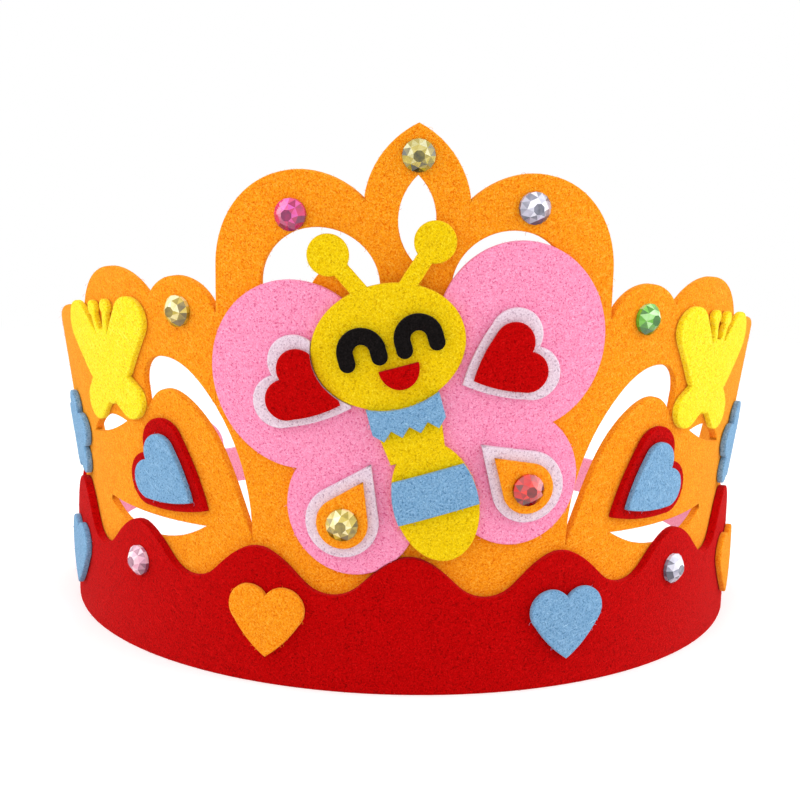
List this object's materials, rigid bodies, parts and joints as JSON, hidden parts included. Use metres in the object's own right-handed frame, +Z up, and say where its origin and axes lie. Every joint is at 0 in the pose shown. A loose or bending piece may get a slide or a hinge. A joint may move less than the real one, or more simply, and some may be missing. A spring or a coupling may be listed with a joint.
{
  "type": "toy felt crown",
  "caption": "Child's toy crown of cut felt: a pierced orange panel with a scalloped red band, a bee with pink wings, glued hearts and faceted stones, closed by a strap at the back.",
  "frame": {"origin": "under the middle of the crown's bounding box, on the plane the lower rim stands on", "axes": "+Z up from the rim to the point, -Y out through the front with the bee, +X to the viewer's right"},
  "size_m": [0.1774, 0.1714, 0.1273],
  "materials": {
    "orange_felt": "matte needled felt with short surface fibres and a soft cut edge",
    "red_felt": "matte needled felt with short surface fibres and a soft cut edge",
    "pink_felt": "matte needled felt with short surface fibres and a soft cut edge",
    "pale_felt": "matte needled felt with short surface fibres and a soft cut edge",
    "yellow_felt": "matte needled felt with short surface fibres and a soft cut edge",
    "lemon_felt": "matte needled felt with short surface fibres and a soft cut edge",
    "blue_felt": "matte needled felt with short surface fibres and a soft cut edge",
    "black_felt": "matte needled felt with short surface fibres and a soft cut edge",
    "strap_felt": "matte needled felt with short surface fibres and a soft cut edge",
    "stone_olive": "clear coloured faceted stone with a foil back, high gloss",
    "stone_magenta": "clear coloured faceted stone with a foil back, high gloss",
    "stone_clear": "clear coloured faceted stone with a foil back, high gloss",
    "stone_yellow": "clear coloured faceted stone with a foil back, high gloss",
    "stone_green": "clear coloured faceted stone with a foil back, high gloss",
    "stone_rose": "clear coloured faceted stone with a foil back, high gloss",
    "stone_red": "clear coloured faceted stone with a foil back, high gloss"
  },
  "bodies": {
    "root": {"crown_panel": "orange_felt", "red_band": "red_felt", "back_strap_left": "strap_felt", "back_strap_right": "strap_felt", "butterfly_wings": "pink_felt", "bee": "yellow_felt", "collar": "blue_felt", "tail_stripe": "blue_felt", "eye_left": "black_felt", "eye_right": "black_felt", "mouth": "red_felt", "wing_heart_backing_left": "pale_felt", "wing_heart_backing_right": "pale_felt", "wing_heart_left": "red_felt", "wing_heart_right": "red_felt", "wing_drop_backing_left": "pale_felt", "wing_drop_backing_right": "pale_felt", "wing_drop_left": "orange_felt", "wing_drop_right": "orange_felt", "drop_gem_left": "stone_yellow", "drop_gem_right": "stone_red", "crown_gem_top": "stone_olive", "crown_gem_left": "stone_magenta", "crown_gem_right": "stone_clear", "side_gem_left": "stone_yellow", "side_gem_right": "stone_green", "band_gem_left": "stone_rose", "band_gem_right": "stone_clear", "side_heart_backing_left": "red_felt", "side_heart_backing_right": "red_felt", "side_heart_left": "blue_felt", "side_heart_right": "blue_felt", "band_heart_left": "orange_felt", "band_heart_right": "blue_felt", "rear_heart_left": "blue_felt", "rear_heart_right": "orange_felt", "yellow_butterfly_left": "lemon_felt", "yellow_butterfly_right": "lemon_felt", "blue_flower_left": "blue_felt", "blue_flower_right": "blue_felt"}
  },
  "joints": []
}
